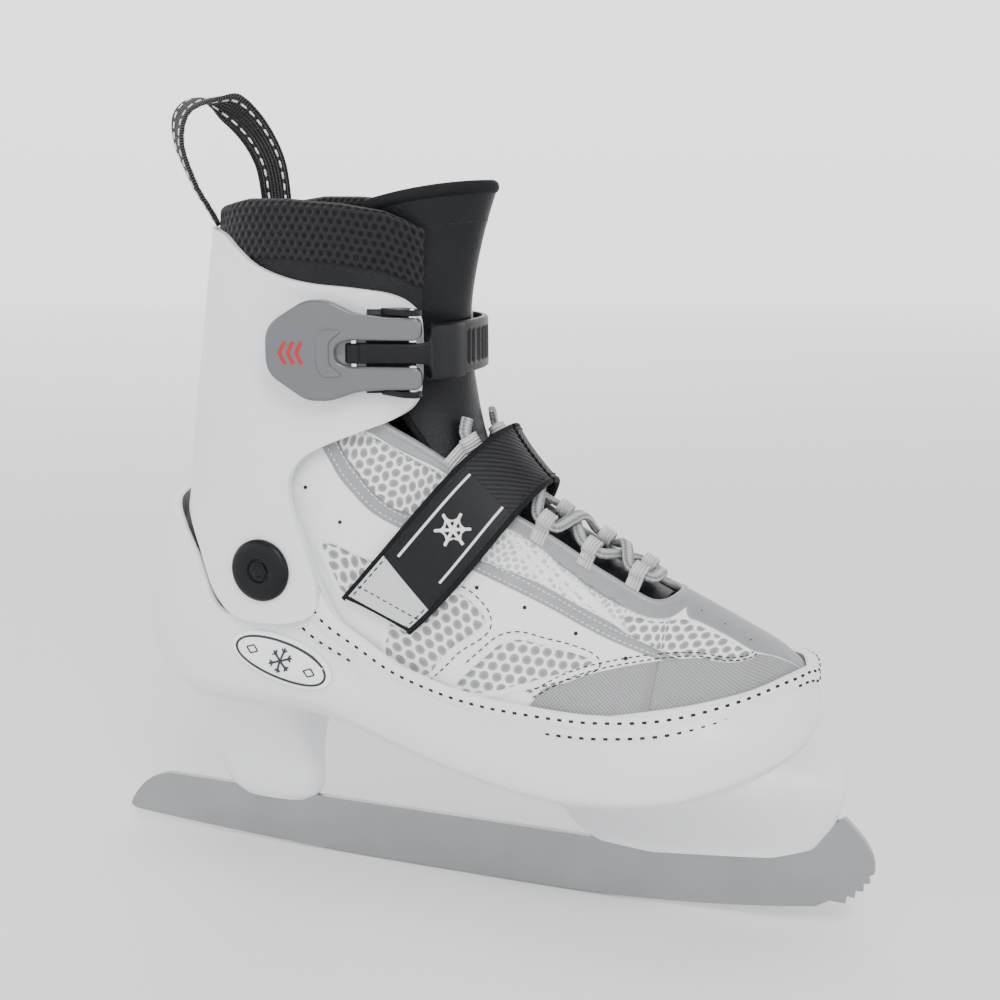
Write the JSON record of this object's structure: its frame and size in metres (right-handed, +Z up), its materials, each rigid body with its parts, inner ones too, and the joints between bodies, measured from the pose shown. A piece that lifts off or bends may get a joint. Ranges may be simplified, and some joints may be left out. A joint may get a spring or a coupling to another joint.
{
  "type": "ice skate",
  "caption": "Soft-boot ice skate with a moulded shell and hinged cuff, laced upper, instep strap, ratchet buckle and a steel runner with toe picks.",
  "frame": {"origin": "middle of the runner's flat, on its lower edge, where it touches the ice", "axes": "+X towards the toe, +Y towards the wearer's inner side, +Z up the leg"},
  "size_m": [0.3124, 0.1031, 0.3014],
  "materials": {
    "white_shell": "satin moulded",
    "steel": "satin ground",
    "dark_steel": "plain",
    "white_leather": "synthetic leather and net",
    "black_leather": "soft grain",
    "black_mesh": "spacer mesh",
    "black_webbing": "coated webbing",
    "silver_webbing": "ribbed webbing",
    "lace_cord": "woven",
    "black_plastic": "satin",
    "grey_gloss": "gloss",
    "chrome": "polished",
    "foam": "felt cover over foam",
    "board": "pressed fibre",
    "badge_white": "satin"
  },
  "bodies": {
    "boot": {"shell_base": "white_shell", "heel_tower": "white_shell", "front_tower": "white_shell", "blade": "steel", "lasting_board": "board", "footbed": "foam", "sole_bolt_1": "dark_steel", "sole_bolt_2": "dark_steel", "sole_bolt_3": "dark_steel", "sole_bolt_4": "dark_steel", "vamp": "white_leather", "lateral_quarter": "white_leather", "medial_quarter": "white_leather", "tongue_lower": "black_leather", "lace": "lace_cord", "lateral_lace_loop_1": "silver_webbing", "lateral_lace_loop_2": "silver_webbing", "lateral_lace_loop_3": "silver_webbing", "lateral_lace_loop_4": "silver_webbing", "lateral_lace_loop_5": "silver_webbing", "medial_lace_loop_1": "silver_webbing", "medial_lace_loop_2": "silver_webbing", "medial_lace_loop_3": "silver_webbing", "medial_lace_loop_4": "silver_webbing", "medial_lace_loop_5": "silver_webbing", "strap_pad": "black_mesh", "strap_medial": "black_webbing", "pivot_washer_lateral": "dark_steel", "pivot_washer_medial": "dark_steel", "pivot_nut_lateral": "dark_steel", "pivot_nut_medial": "dark_steel", "shell_badge": "badge_white"},
    "cuff": {"cuff": "white_shell", "cuff_rivet_lateral": "black_plastic", "cuff_rivet_medial": "black_plastic", "liner_collar": "black_mesh", "tongue_upper": "black_leather", "pull_loop": "black_webbing", "buckle_base": "black_plastic", "base_rivet_1": "chrome", "base_rivet_2": "chrome", "lever_pin_upper": "chrome", "lever_pin_lower": "chrome", "ladder_bracket": "black_plastic", "ladder_pin": "chrome", "bracket_rivet": "chrome"},
    "lever": {"buckle_lever": "grey_gloss", "link_pin": "chrome"},
    "link": {"pull_link": "black_plastic"},
    "ladder": {"ladder_strap": "black_plastic"},
    "strap": {"strap_flap": "black_webbing"}
  },
  "joints": [
    {"name": "cuff_pivot", "type": "hinge", "parent": "boot", "child": "cuff", "pos_m": [-0.0654, 0, 0.1271], "axis": [0, 1, 0], "range_deg": [0, 10]},
    {"name": "lever_open", "type": "hinge", "parent": "cuff", "child": "lever", "pos_m": [-0.0053, -0.0383, 0.209], "axis": [0, 0, 1], "range_deg": [0, 110]},
    {"name": "link_swing", "type": "hinge", "parent": "lever", "child": "link", "pos_m": [-0.02567, -0.04342, 0.209], "axis": [0, 0, 1], "range_deg": [-110, 0]},
    {"name": "ladder_swing", "type": "hinge", "parent": "cuff", "child": "ladder", "pos_m": [-0.04135, 0.04424, 0.209], "axis": [0, 0, 1], "range_deg": [0, 22]},
    {"name": "strap_peel", "type": "hinge", "parent": "boot", "child": "strap", "pos_m": [0.02597, -0.00002, 0.17006], "axis": [-0.6378, 0.0016, 0.7702], "range_deg": [0, 50]}
  ],
  "couplings": [
    {"joint": "link_swing", "follows": "lever_open", "ratio": -1},
    {"joint": "ladder_swing", "follows": "lever_open", "ratio": 0.2}
  ]
}
